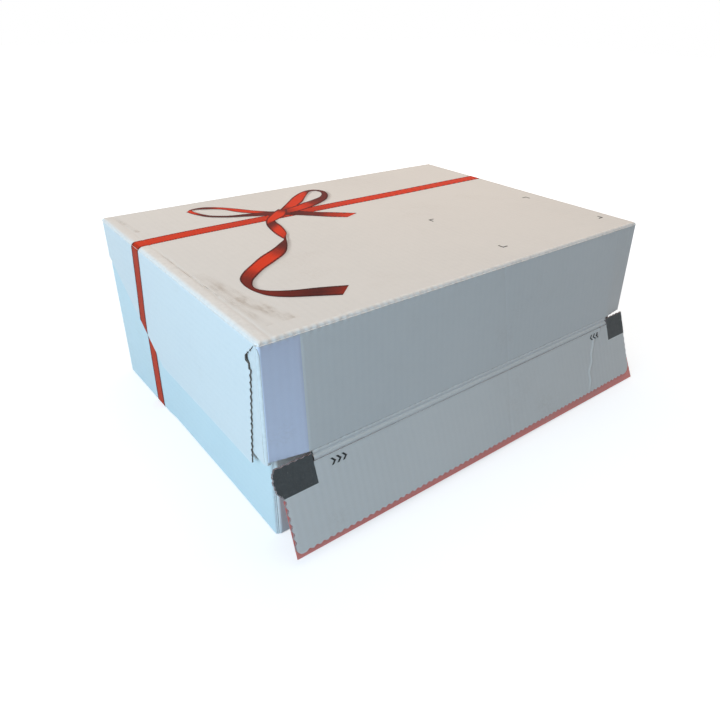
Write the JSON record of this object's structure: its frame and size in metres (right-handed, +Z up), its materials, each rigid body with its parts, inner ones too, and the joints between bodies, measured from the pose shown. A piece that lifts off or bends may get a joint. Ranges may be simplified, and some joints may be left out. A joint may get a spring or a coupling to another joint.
{
  "type": "gift box",
  "caption": "Folded corrugated gift mailer with a printed ribbon and bow, a hinged lid with side panels and a peel-and-seal closure flap.",
  "frame": {"origin": "middle of the tray's resting face, at the centre of the lid's length and depth", "axes": "+X along the box's length, towards its right end seen from the front; -Y towards the closure flap; +Z up"},
  "size_m": [0.4534, 0.3588, 0.179],
  "materials": {
    "white_board": "matt white-faced corrugated board, brown inside",
    "tear_tape": "satin translucent film",
    "glue": "tacky satin",
    "release_paper": "satin siliconed paper"
  },
  "bodies": {
    "tray": {"bottom_panel": "white_board", "front_wall": "white_board", "rear_wall": "white_board", "left_wall_outer": "white_board", "left_wall_rim": "white_board", "left_wall_inner": "white_board", "front_left_tab": "white_board", "rear_left_tab": "white_board", "right_wall_outer": "white_board", "right_wall_rim": "white_board", "right_wall_inner": "white_board", "front_right_tab": "white_board", "rear_right_tab": "white_board"},
    "lid": {"lid_top": "white_board", "lid_front_panel": "white_board", "lid_left_panel": "white_board", "lid_right_panel": "white_board", "lid_left_wing": "white_board", "lid_right_wing": "white_board"},
    "flap": {"closure_flap": "white_board", "tear_strip": "white_board", "tear_tape": "tear_tape", "glue_strip": "glue"},
    "liner": {"release_liner": "release_paper"}
  },
  "joints": [
    {"name": "lid_hinge", "type": "hinge", "parent": "tray", "child": "lid", "pos_m": [0, 0.164, 0.1762], "axis": [-1, 0, 0], "range_deg": [0, 180]},
    {"name": "flap_hinge", "type": "hinge", "parent": "lid", "child": "flap", "pos_m": [0, -0.1698, 0.0783], "axis": [-1, 0, 0], "range_deg": [-24, 150]},
    {"name": "liner_peel", "type": "slide", "parent": "flap", "child": "liner", "axis": [1, 0, 0], "range_m": [0, 0.45]}
  ]
}
